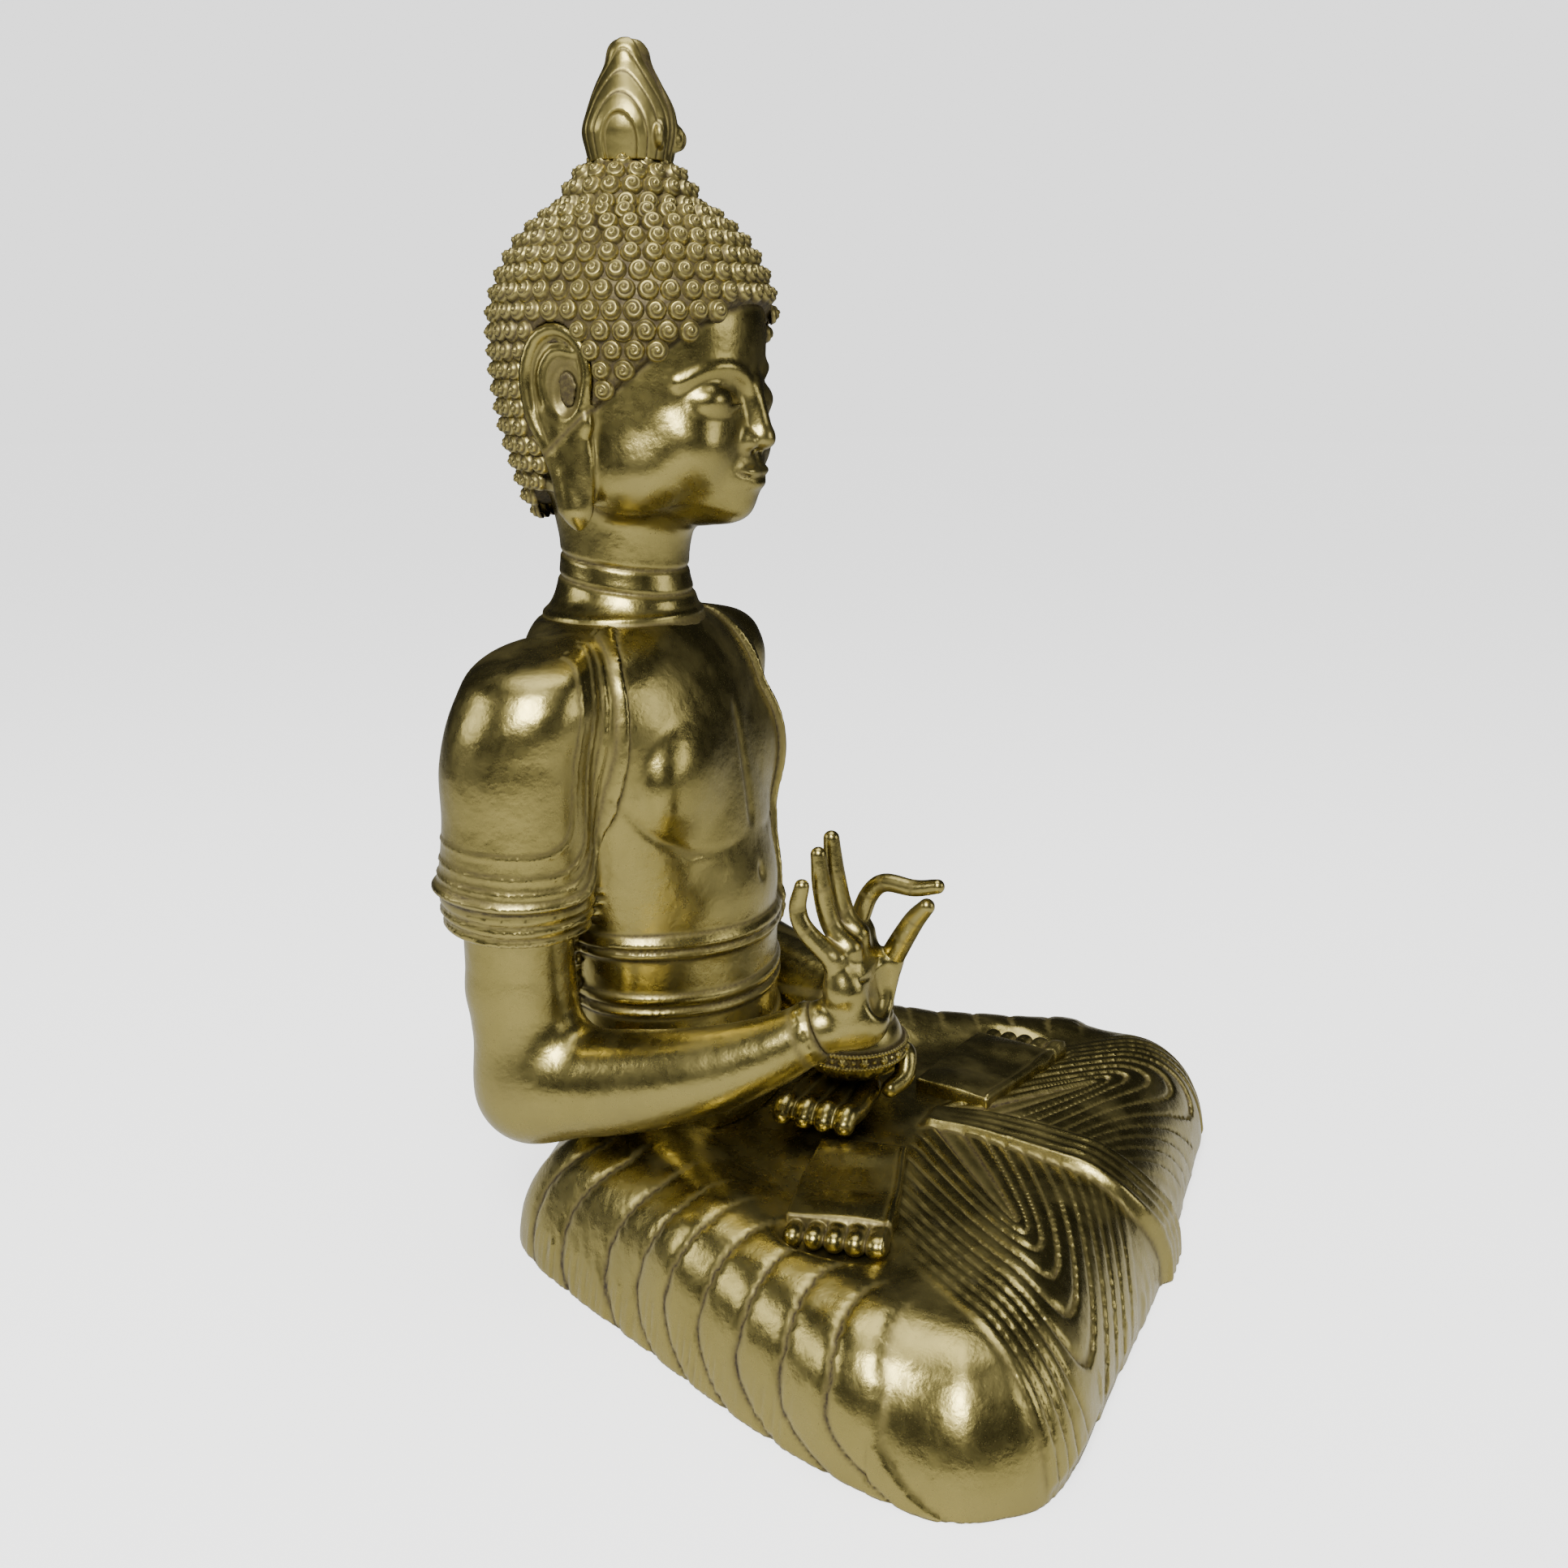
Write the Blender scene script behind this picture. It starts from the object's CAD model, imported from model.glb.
from math import cos, pi, radians, sin, sqrt

import bpy
import numpy as np
from mathutils import Matrix, Vector


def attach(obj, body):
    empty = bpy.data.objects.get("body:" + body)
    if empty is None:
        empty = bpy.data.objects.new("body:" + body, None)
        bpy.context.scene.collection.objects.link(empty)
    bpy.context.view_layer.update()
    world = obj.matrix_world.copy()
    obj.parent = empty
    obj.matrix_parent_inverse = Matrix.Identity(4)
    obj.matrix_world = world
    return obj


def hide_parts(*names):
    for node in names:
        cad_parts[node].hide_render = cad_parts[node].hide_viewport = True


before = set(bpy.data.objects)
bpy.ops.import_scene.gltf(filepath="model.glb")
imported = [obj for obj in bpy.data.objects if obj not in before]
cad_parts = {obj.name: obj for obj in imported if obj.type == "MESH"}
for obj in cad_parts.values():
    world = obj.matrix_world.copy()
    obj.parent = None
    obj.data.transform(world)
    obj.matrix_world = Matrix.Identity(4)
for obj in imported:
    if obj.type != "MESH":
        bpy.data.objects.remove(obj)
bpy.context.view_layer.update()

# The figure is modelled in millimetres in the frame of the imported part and
# scaled to metres when each mesh is made. It faces -Y and its left is +X.
MM = 0.001
FINE = 1.0      # coarser meshes while trying things
BLOCK = 8                              # cells along each side of a block
BATCH = 300                            # blocks worked out at a time


# ---- distance fields -------------------------------------------------------


def smin(a, b, k):
    """Smooth union of two distance fields."""
    h = np.maximum(k - np.abs(a - b), 0.0) / k
    return np.minimum(a, b) - h * h * k * 0.25


def smax(a, b, k):
    return -smin(-a, -b, k)


def step(a, b, x):
    t = np.clip((x - a) / (b - a), 0.0, 1.0)
    return t * t * (3 - 2 * t)


def ridge(d, width):
    """Rounded bump across a line, 1 on the line."""
    return np.exp(-((d / width) ** 2))


def oval(q, r):
    """Ellipsoid or ellipse about the origin, from offsets and radii."""
    k0 = np.sqrt(sum((v / s) ** 2 for v, s in zip(q, r))) + 1e-9
    k1 = np.sqrt(sum((v / s**2) ** 2 for v, s in zip(q, r))) + 1e-9
    return k0 * (k0 - 1.0) / k1


def egg(p, c, r):
    """Ellipsoid of radii r about c."""
    return oval([p[i] - c[i] for i in range(3)], r)


def bone(p, a, b, ra, rb):
    """Round rod from a to b whose radius runs from ra to rb."""
    w = [b[i] - a[i] for i in range(3)]
    ww = sum(v * v for v in w) + 1e-9
    t = np.clip(sum((p[i] - a[i]) * w[i] for i in range(3)) / ww, 0.0, 1.0)
    d = np.sqrt(sum((p[i] - a[i] - t * w[i]) ** 2 for i in range(3)))
    return d - (ra + (rb - ra) * t)


def chain(p, nodes, k=3.0):
    """Rods through (x, y, z, radius) nodes, blended over k where k isn't 0."""
    d = None
    for a, b in zip(nodes, nodes[1:]):
        e = bone(p, a, b, a[3], b[3])
        if d is None:
            d = e
        else:
            d = smin(d, e, k) if k else np.minimum(d, e)
    return d


def edge_distance(p, nodes):
    """Distance to a line through points."""
    return np.minimum.reduce([bone(p, a, b, 0.0, 0.0) for a, b in zip(nodes, nodes[1:])])


def between(a, b, c, d, t):
    """Catmull-Rom point a share t of the way from b to c."""
    return b + 0.5 * t * (c - a + t * (2 * a - 5 * b + 4 * c - d + t * (3 * (b - c) + d - a)))


def curved(nodes, per=4):
    """Smooth open path through a few points, of any number of values each."""
    q = np.array(nodes, float)
    q = np.concatenate([[2 * q[0] - q[1]], q, [2 * q[-1] - q[-2]]])
    out = [tuple(between(*q[i : i + 4], t)) for i in range(len(q) - 3) for t in np.arange(per) / per]
    return out + [tuple(q[-2])]


def rod(p, nodes, per):
    """Rod that bends smoothly through (x, y, z, radius) nodes."""
    return chain(p, curved(nodes, per), 0.0)


def brick(p, half, r):
    """Box of half sizes half with its edges rounded to r."""
    q = [np.abs(p[i]) - (half[i] - r) for i in range(3)]
    out = np.sqrt(sum(np.maximum(v, 0) ** 2 for v in q))
    return out + np.minimum(np.maximum(q[0], np.maximum(q[1], q[2])), 0) - r


def smooth_table(z, levels, values):
    """Cubic interpolation with flat-limited slopes through a short table."""
    t = np.asarray(levels, float)
    v = np.asarray(values, float)
    s = np.diff(v) / np.diff(t)
    m = np.concatenate([[s[0]], (s[1:] + s[:-1]) / 2, [s[-1]]])
    i = np.clip(np.searchsorted(t, z) - 1, 0, len(t) - 2)
    h = t[i + 1] - t[i]
    u = np.clip((z - t[i]) / h, 0.0, 1.0)
    a = (1 + 2 * u) * (1 - u) ** 2 * v[i] + u * (1 - u) ** 2 * h * m[i]
    return a + u * u * (3 - 2 * u) * v[i + 1] + u * u * (u - 1) * h * m[i + 1]


def column(p, rows):
    """Upright body through level ovals (z, y, rx, ry)."""
    z = [r[0] for r in rows]
    yc, rx, ry = (smooth_table(p[2], z, [r[i] for r in rows]) for i in (1, 2, 3))
    cap = np.maximum(p[2] - z[-1], z[0] - p[2])
    return smax(oval((p[0], p[1] - yc), (rx, ry)), cap, 2.0)


def raised(f, p, relief, reach):
    """Field f moved outward by a relief that is worked out only near its surface."""
    near = np.abs(f) < reach
    out = np.zeros_like(f)
    out[near] = relief(tuple(c[near] for c in p))[0]
    return f - out


def wash_of(relief):
    """The depth of wash that a relief function gives beside its height."""
    return lambda p: relief(p)[1]


# ---- meshes from fields ----------------------------------------------------


def field_corners(f, lo, h, blocks):
    """Values of f at the cell corners of every block."""
    loc = np.arange(BLOCK + 1)
    g = [blocks[:, i, None] * BLOCK + loc[None, :] for i in range(3)]
    m = len(blocks)
    shape = (m, BLOCK + 1, BLOCK + 1, BLOCK + 1)
    x = np.broadcast_to((lo[0] + h * g[0])[:, :, None, None], shape)
    y = np.broadcast_to((lo[1] + h * g[1])[:, None, :, None], shape)
    z = np.broadcast_to((lo[2] + h * g[2])[:, None, None, :], shape)
    return f((x.ravel(), y.ravel(), z.ravel())).reshape(shape)


CORNERS = np.array([(i, j, k) for i in (0, 1) for j in (0, 1) for k in (0, 1)])
PAIRS = [(a, b) for a in range(8) for b in range(a + 1, 8)]
EDGES = [(a, b) for a, b in PAIRS if np.abs(CORNERS[a] - CORNERS[b]).sum() == 1]


def net_points(values, blocks, span, lo, h):
    """One vertex, with its key, in each cell of the blocks that the surface crosses."""
    inside = values < 0
    count = sum(
        inside[:, i : i + BLOCK, j : j + BLOCK, k : k + BLOCK].astype(np.int8) for i, j, k in CORNERS
    )
    b, i, j, k = np.nonzero((count > 0) & (count < 8))
    v = np.stack([values[b, i + c[0], j + c[1], k + c[2]] for c in CORNERS], 1)
    total = np.zeros((len(b), 3))
    hits = np.zeros(len(b))
    for s, e in EDGES:
        cross = (v[:, s] < 0) != (v[:, e] < 0)
        t = np.where(cross, v[:, s] / np.where(cross, v[:, s] - v[:, e], 1.0), 0.0)
        point = CORNERS[s] + t[:, None] * (CORNERS[e] - CORNERS[s])
        total += point * cross[:, None]
        hits += cross
    cell = blocks[b] * BLOCK + np.stack([i, j, k], 1)
    return lo + h * (cell + total / hits[:, None]), cell_key(cell, span)


def net_quads(inside, blocks, span):
    """Keys of the four cells round each grid edge that the surface crosses."""
    quads = []
    low = inside[:, :BLOCK, :BLOCK, :BLOCK]
    for axis in range(3):
        cut = [slice(None)] + [slice(1, BLOCK + 1) if a == axis else slice(0, BLOCK) for a in range(3)]
        b, i, j, k = np.nonzero(low != inside[tuple(cut)])
        base = blocks[b] * BLOCK + np.stack([i, j, k], 1)
        u, w = [a for a in range(3) if a != axis]
        ring = []
        for du, dw in ((-1, -1), (0, -1), (0, 0), (-1, 0)):
            cell = base.copy()
            cell[:, u] += du
            cell[:, w] += dw
            ring.append(cell_key(cell, span))
        ring = np.stack(ring, 1)
        flip = low[b, i, j, k] == (axis == 1)
        ring[flip] = ring[flip][:, ::-1]
        quads.append(ring)
    return np.concatenate(quads)


def cell_key(cell, span):
    """One whole number for each cell."""
    c = cell + 1
    return (c[:, 0] * span[1] + c[:, 1]) * span[2] + c[:, 2]


def surface(f, lo, hi, h):
    """Quad mesh of the zero level of f, by surface nets on active blocks."""
    h = h * FINE
    lo = np.asarray(lo, float) - 0.37 * h
    hi = np.asarray(hi, float)
    blocks = np.ceil((hi - lo) / (h * BLOCK)).astype(int)
    span = blocks * BLOCK + 3
    mid = [lo[a] + (np.arange(blocks[a]) + 0.5) * BLOCK * h for a in range(3)]
    grid = np.meshgrid(*mid, indexing="ij")
    d = f(tuple(g.ravel() for g in grid))
    reach = BLOCK * h * 0.87 * 1.5 + 2.0       # half a block's diagonal and room to spare
    chosen = np.stack(np.unravel_index(np.flatnonzero(np.abs(d) < reach), blocks), 1)
    points, keys, quads = [], [], []
    for start in range(0, len(chosen), BATCH):
        part = chosen[start : start + BATCH]
        values = field_corners(f, lo, h, part)
        p, k = net_points(values, part, span, lo, h)
        points.append(p)
        keys.append(k)
        quads.append(net_quads(values < 0, part, span))
    points, keys, quads = (np.concatenate(v) for v in (points, keys, quads))
    order = np.argsort(keys)
    points, keys = points[order], keys[order]
    index = np.clip(np.searchsorted(keys, quads), 0, len(keys) - 1)
    whole = (keys[index] == quads).all(1)
    return settle(f, points, h), index[whole]


def settle(f, points, h):
    """Pull vertices onto the surface."""
    eps = 0.25 * h
    for _ in range(2):
        x, y, z = points.T
        d = f((x, y, z))
        g = np.stack(
            [
                f((x + eps, y, z)) - f((x - eps, y, z)),
                f((x, y + eps, z)) - f((x, y - eps, z)),
                f((x, y, z + eps)) - f((x, y, z - eps)),
            ],
            1,
        ) / (2 * eps)
        size = np.maximum((g * g).sum(1), 0.2)
        move = np.clip(d / size, -0.6 * h, 0.6 * h)
        points = points - g * move[:, None]
    return points


def make_mesh(name, points, faces, material, body="statue", patina=None):
    """Object from mm points and faces, with a stored patina value per point."""
    mesh = bpy.data.meshes.new(name)
    mesh.vertices.add(len(points))
    mesh.vertices.foreach_set("co", (np.asarray(points) * MM).astype(np.float32).ravel())
    mesh.loops.add(faces.size)
    mesh.loops.foreach_set("vertex_index", faces.astype(np.int32).ravel())
    mesh.polygons.add(len(faces))
    starts = np.arange(0, faces.size, faces.shape[1], dtype=np.int32)
    mesh.polygons.foreach_set("loop_start", starts)
    mesh.update(calc_edges=True)
    mesh.validate()
    if patina is None:
        patina = np.zeros(len(points))
    shade = mesh.attributes.new("patina", "FLOAT", "POINT")
    shade.data.foreach_set("value", np.clip(patina, 0, 1).astype(np.float32))
    mesh.polygons.foreach_set("use_smooth", [True] * len(mesh.polygons))
    mesh.materials.append(material)
    obj = bpy.data.objects.new(name, mesh)
    bpy.context.scene.collection.objects.link(obj)
    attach(obj, body)
    return obj


def sculpt(name, f, lo, hi, h, material, node, body="statue", patina=None, slot="gold_paint"):
    """The surface of f between lo and hi, in cells of h, standing for a CAD node."""
    points, quads = surface(f, lo, hi, h)
    shade = patina(tuple(points.T)) if patina else None
    obj = make_mesh(name, points, quads, material, body, shade)
    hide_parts(node)
    return obj


# ---- finishes --------------------------------------------------------------


def shader(name):
    """Empty material with a principled surface."""
    mat = bpy.data.materials.new(name)
    mat.use_nodes = True
    tree = mat.node_tree
    tree.nodes.clear()
    out = tree.nodes.new("ShaderNodeOutputMaterial")
    bsdf = tree.nodes.new("ShaderNodeBsdfPrincipled")
    tree.links.new(bsdf.outputs["BSDF"], out.inputs["Surface"])
    return mat, tree, bsdf


def add(tree, kind, **values):
    made = tree.nodes.new("ShaderNode" + kind)
    for key, value in values.items():
        setattr(made, key, value)
    return made


def noise(tree, scale, detail=3.0, rough=0.5):
    coord = add(tree, "TexCoord")
    made = add(tree, "TexNoise")
    made.inputs["Scale"].default_value = scale
    made.inputs["Detail"].default_value = detail
    made.inputs["Roughness"].default_value = rough
    tree.links.new(coord.outputs["Object"], made.inputs["Vector"])
    return made.outputs["Fac"]


def span(tree, value, lo, hi, out_lo=0.0, out_hi=1.0):
    """Value carried from one range to another, held at its ends."""
    made = add(tree, "MapRange")
    made.clamp = True
    tree.links.new(value, made.inputs["Value"])
    for key, v in (("From Min", lo), ("From Max", hi), ("To Min", out_lo), ("To Max", out_hi)):
        made.inputs[key].default_value = v
    return made.outputs["Result"]


def maths(tree, op, a, b):
    made = add(tree, "Math", operation=op)
    for socket, v in zip(made.inputs, (a, b)):
        if isinstance(v, (int, float)):
            socket.default_value = v
        else:
            tree.links.new(v, socket)
    return made.outputs[0]


def tint(tree, fac, a, b):
    """Colour between a and b, each a value or another node's output."""
    made = add(tree, "Mix", data_type="RGBA")
    tree.links.new(fac, made.inputs["Factor"])
    for key, v in (("A", a), ("B", b)):
        socket = [s for s in made.inputs if s.name == key and s.type == "RGBA"][0]
        if isinstance(v, tuple):
            socket.default_value = (*v, 1.0)
        else:
            tree.links.new(v, socket)
    return [s for s in made.outputs if s.type == "RGBA"][0]


def bump(tree, strength, depth, height, under=None):
    made = add(tree, "Bump")
    made.inputs["Strength"].default_value = strength
    made.inputs["Distance"].default_value = depth
    tree.links.new(height, made.inputs["Height"])
    if under is not None:
        tree.links.new(under, made.inputs["Normal"])
    return made.outputs["Normal"]


def gold(name, wash=1.0, rough=0.3, grain=1.0):
    """Old gold over resin: satin metal, brown wash left in the hollows, faint orange peel."""
    mat, tree, bsdf = shader(name)
    link = tree.links.new
    stored = add(tree, "Attribute", attribute_name="patina").outputs["Fac"]
    shape = add(tree, "NewGeometry").outputs["Pointiness"]
    hollow = span(tree, shape, 0.5, 0.42)
    worn = span(tree, shape, 0.53, 0.62)
    cloud = noise(tree, 28.0, 4.0)
    fleck = noise(tree, 420.0, 5.0, 0.7)
    wash_in = maths(tree, "MAXIMUM", stored, maths(tree, "MULTIPLY", hollow, 0.7))
    broken = maths(tree, "MULTIPLY", wash_in, span(tree, fleck, 0.25, 0.6, 0.55, 1.15))
    thin = maths(tree, "MULTIPLY", span(tree, cloud, 0.5, 0.75), 0.22)
    dirt = maths(tree, "MINIMUM", maths(tree, "ADD", broken, thin), wash)
    base = tint(tree, cloud, (0.27, 0.224, 0.068), (0.35, 0.293, 0.103))
    base = tint(tree, maths(tree, "MULTIPLY", worn, 0.5), base, (0.55, 0.47, 0.21))
    spots = span(tree, noise(tree, 900.0, 2.0, 0.6), 0.68, 0.74)
    dirt = maths(tree, "MAXIMUM", dirt, maths(tree, "MULTIPLY", spots, 0.45))
    link(tint(tree, dirt, base, (0.040, 0.027, 0.010)), bsdf.inputs["Base Color"])
    link(span(tree, dirt, 0.0, 1.0, 1.0, 0.45), bsdf.inputs["Metallic"])
    ragged = maths(tree, "MULTIPLY", noise(tree, 160.0, 3.0), 0.14)
    satin = maths(tree, "ADD", ragged, rough - 0.07)
    link(maths(tree, "ADD", satin, maths(tree, "MULTIPLY", dirt, 0.3)), bsdf.inputs["Roughness"])
    coarse = bump(tree, 0.35 * grain, 0.0012, noise(tree, 110.0, 3.0))
    fine = bump(tree, 0.16 * grain, 0.0004, noise(tree, 700.0, 4.0, 0.65), coarse)
    link(fine, bsdf.inputs["Normal"])
    return mat


def plain(name, color, rough, metallic=0.0, scale=300.0, depth=0.0003):
    """Unpainted inner part: one colour with a little variation and grain."""
    mat, tree, bsdf = shader(name)
    pale = tuple(min(1.0, c * 1.15) for c in color)
    deep = tuple(c * 0.85 for c in color)
    tree.links.new(tint(tree, noise(tree, scale * 0.3), deep, pale), bsdf.inputs["Base Color"])
    bsdf.inputs["Metallic"].default_value = metallic
    bsdf.inputs["Roughness"].default_value = rough
    grain = bump(tree, 0.4, depth, noise(tree, scale))
    tree.links.new(grain, bsdf.inputs["Normal"])
    return mat


GOLD = gold("gold_paint", rough=0.27)
HAIR_GOLD = gold("hair_gold", wash=0.95, rough=0.33, grain=0.7)
BOWL_GOLD = gold("bowl_gold", wash=0.95, rough=0.28, grain=0.6)
STEEL = plain("steel", (0.55, 0.55, 0.55), 0.35, 1.0)
DOWEL = plain("dowel_wood", (0.62, 0.45, 0.27), 0.65)
RESIN = plain("raw_resin", (0.62, 0.58, 0.49), 0.55)
INNER_FINISH = {
    "base_board": plain("board", (0.42, 0.28, 0.16), 0.7),
    "felt_sheet": plain("felt", (0.03, 0.055, 0.035), 0.95, scale=900.0, depth=0.0006),
    "plaster_ballast": plain("plaster", (0.75, 0.73, 0.69), 0.9),
    "base_screws": STEEL,
    "waist_tube": RESIN,
    "neck_tube": RESIN,
    "crown_socket": RESIN,
    "finial_peg": RESIN,
    "right_arm_dowel": DOWEL,
    "left_arm_dowel": DOWEL,
    "right_wrist_pin": STEEL,
    "left_wrist_pin": STEEL,
    "finger_pins": STEEL,
    "bowl_peg": STEEL,
}


def dress_inner_nodes():
    """Inner CAD parts keep their shape and get their own finish."""
    for name, finish in INNER_FINISH.items():
        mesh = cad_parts[name].data
        mesh.materials.clear()
        mesh.materials.append(finish)


# ---- lap -------------------------------------------------------------------

LAP_TOP = 60.0
RIM = 50.0          # how far the rounded edge of the lap runs in
RECESS = 8.0
WALL = 6.0
HALF_OUTLINE = [
    (0, 152),
    (66, 144),
    (106, 122),
    (153, 27),
    (189, -55),
    (206, -126),
    (194, -158),
    (168, -174),
    (96, -179),
    (0, -183),
]


def closed_curve(points, per=40):
    """Catmull-Rom curve through a closed ring of points."""
    p = np.array(points, float)
    t = np.linspace(0, 1, per, endpoint=False)[:, None]
    ends = [[p[(i + k) % len(p)] for k in (-1, 0, 1, 2)] for i in range(len(p))]
    return np.concatenate([between(*four, t) for four in ends])


def outline_maps():
    """Level maps of the footprint: distance inside (negative) and length along it."""
    ring = closed_curve(HALF_OUTLINE + [(-x, y) for x, y in reversed(HALF_OUTLINE[1:-1])])
    half = ring[: len(ring) // 2 + 1]
    length = np.concatenate([[0], np.cumsum(np.hypot(*np.diff(half, axis=0).T))])
    x = np.arange(0, 241, 2.0)
    y = np.arange(-212, 185, 2.0)
    gx, gy = (g.ravel() for g in np.meshgrid(x, y, indexing="ij"))
    d2 = (gx[:, None] - half[None, :, 0]) ** 2 + (gy[:, None] - half[None, :, 1]) ** 2
    near = d2.argmin(1)
    dist = np.sqrt(d2[np.arange(len(near)), near])
    a, b = ring, np.roll(ring, -1, 0)
    cross = (a[None, :, 1] > gy[:, None]) != (b[None, :, 1] > gy[:, None])
    at = a[:, 0] + (gy[:, None] - a[:, 1]) * (b[:, 0] - a[:, 0]) / (b[:, 1] - a[:, 1] + 1e-12)
    inside = (cross & (gx[:, None] < at)).sum(1) % 2 == 1
    dist = np.where(inside, -dist, dist).reshape(len(x), len(y))
    return x, y, dist, length[near].reshape(len(x), len(y)), half, length


MAP_X, MAP_Y, MAP_D, MAP_S, HALF_RING, HALF_LENGTH = outline_maps()


def look(table, x, y):
    """Bilinear value of a footprint map at |x|, y."""
    u = np.clip((np.abs(x) - MAP_X[0]) / 2.0, 0, len(MAP_X) - 1.001)
    v = np.clip((y - MAP_Y[0]) / 2.0, 0, len(MAP_Y) - 1.001)
    i, j = u.astype(int), v.astype(int)
    a, b = u - i, v - j
    low = table[i, j] * (1 - b) + table[i, j + 1] * b
    high = table[i + 1, j] * (1 - b) + table[i + 1, j + 1] * b
    return low * (1 - a) + high * a


def outline_length(y):
    """Length along the outline, from the middle of the back, where it passes y."""
    side = HALF_RING[:, 0] > 60
    k = np.flatnonzero(side)[np.abs(HALF_RING[side, 1] - y).argmin()]
    return HALF_LENGTH[k]


SIDE_FOLDS = [outline_length(y) for y in (142, 120, 96, 63, 39, 18, -4, -28, -54, -80, -104)]
SHIN_RINGS = [15, 32, 42, 54, 70, 87, 103, 117, 130, 143, 157, 170]


def drape_edges(y):
    """Left and right edge of the robe fall at a given y."""
    levels = [-186, -171, -142, -106, -78, -56]
    left = smooth_table(y, levels, [2, -10, -11, -4, 1, 2])
    right = smooth_table(y, levels, [36, 22, 19, 25, 26, 23])
    return left, right


def fold_profile(t, amount):
    """Overlapping folds: rounded ridges with a crisp valley at whole numbers."""
    f = t - np.floor(t)
    bump = 1 - np.abs(2 * f - 1) ** 5
    return amount * (0.75 * bump + 0.25 * (1 - f))


def valley(t, spacing, width):
    """1 in the valley at each whole number, for folds a spacing apart."""
    f = t - np.floor(t)
    return ridge(np.minimum(f, 1 - f) * spacing, width)


def side_fold_share(x, y, z):
    """Where the upright folds on the sides are, and their running number."""
    s = look(MAP_S, x, y)
    rise = (s - SIDE_FOLDS[0]) / (SIDE_FOLDS[-1] - SIDE_FOLDS[0])
    low = 35.0 * np.clip(rise, 0, 1) * np.clip((32 - z) / 32, 0, 1) ** 2
    high = (23.0 - 35.0 * np.clip(rise, 0, 1)) * np.clip((z - 32) / 26, 0, 1.3) ** 2
    s = s - low - high
    number = np.interp(s, SIDE_FOLDS, np.arange(len(SIDE_FOLDS)))
    near_side = np.where(z > 40, step(60, 30, -look(MAP_D, x, y)), 1.0)
    first, last = SIDE_FOLDS[0], SIDE_FOLDS[-1]
    inside = step(first + 4, first + 18, s) * step(last + 3, last - 6, s)
    return number, inside * near_side * step(78, 62, z)


def shin_share(x, y, z):
    """Nested loops of cloth on each shin, and where they show."""
    side = np.where(x < 10, -1.0, 1.0)
    ox = np.where(side < 0, -49.0, 62.0)
    u = (x - ox) * side * 0.8 - (y + 107) * 0.6
    v = -(x - ox) * side * 0.6 - (y + 107) * 0.8
    core = 30.0                                # half length of the innermost loop
    w = ((u + core) + np.sqrt((u - core) ** 2 + 20.0 * v**2)) / 2
    number = np.interp(w, SHIN_RINGS, np.arange(len(SHIN_RINGS)))
    seam = (np.abs(x) - 105) * 0.61 + (y + 78) * 0.79
    front = step(2, -8, seam)
    wide = 1 / (1 + (v / 36.0) ** 2)
    return number, front * wide * step(176, 166, w) * step(-52, -62, y) * step(2, 10, z)


def lap_relief(p):
    """Relief of the cloth (mm outward) and the depth of wash in its valleys."""
    x, y, z = p
    number, share = side_fold_share(x, y, z)
    out = fold_profile(number, 1.9) * share
    dark = valley(number, 24.0, 1.5) * share
    left, right = drape_edges(y)
    on_drape = step(-3, 3, x - left) * step(3, -3, x - right) * step(-50, -57, y)
    number, share = shin_share(x, y, z)
    share = share * (1 - on_drape)
    out = out + fold_profile(number, 3.2) * share
    dark = np.maximum(dark, valley(number, 18.0, 1.4) * share)
    fall = (x - left) / (right - left)
    lines = 0.8 * np.sin(fall * 2 * pi * 2.0) ** 2 * step(-60, -90, y)
    out = out * (1 - on_drape) + on_drape * (4.6 + lines)
    edge = np.minimum(np.abs(x - left), np.abs(x - right))
    beside = 0.7 * ridge(edge - 2.6, 1.4) * step(-50, -58, y)
    dark = np.maximum(dark, beside) * (1 - on_drape)
    from_back = look(MAP_S, x, y)
    rear = np.cos(from_back * 0.21) * step(60, 30, np.abs(from_back))
    out = out + 0.8 * rear * step(2, 20, z) * step(58, 44, z)
    return out, dark


def lap_body(p):
    """The lap without its cloth folds: a rounded slab and the two legs on it."""
    x, y, z = p
    f = oval((np.maximum(RIM + look(MAP_D, x, y), 0), np.maximum(z, 0)), (RIM, LAP_TOP))
    legs = [(62, 84, 34, 40), (118, 4, 34, 34), (164, -88, 26, 31), (150, -128, 22, 27)]
    return smin(f, chain((np.abs(x), y, z), legs, 8.0), 12.0)


def lap_field(p):
    x, y, z = p
    f = raised(lap_body(p), p, lap_relief, 24)
    for side in (-1, 1):
        under_toes = egg(foot_local(p, side), (46, 0, -3), (17, 27, 9.5))
        f = smax(f, -under_toes, 6.0)
    recess = np.maximum(look(MAP_D, x, y) + WALL, z - RECESS)
    return smax(smax(f, -z, 1.0), -recess, 0.8)


def build_lap():
    """The robe over the legs, as a right and a left mesh that meet under the drape."""
    points, quads = surface(lap_field, (-212, -190, 0), (212, 156, 76), 1.55)
    wash = lap_relief(tuple(points.T))[1]
    right = points[quads].mean(1)[:, 0] < 0
    for name, mine in (("lap_right", right), ("lap_left", ~right)):
        used, index = np.unique(quads[mine], return_inverse=True)
        obj = make_mesh(name, points[used], index.reshape(-1, 4), GOLD, patina=wash[used])
        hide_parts("lap_shell")


# ---- torso and sleeves -----------------------------------------------------

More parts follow.
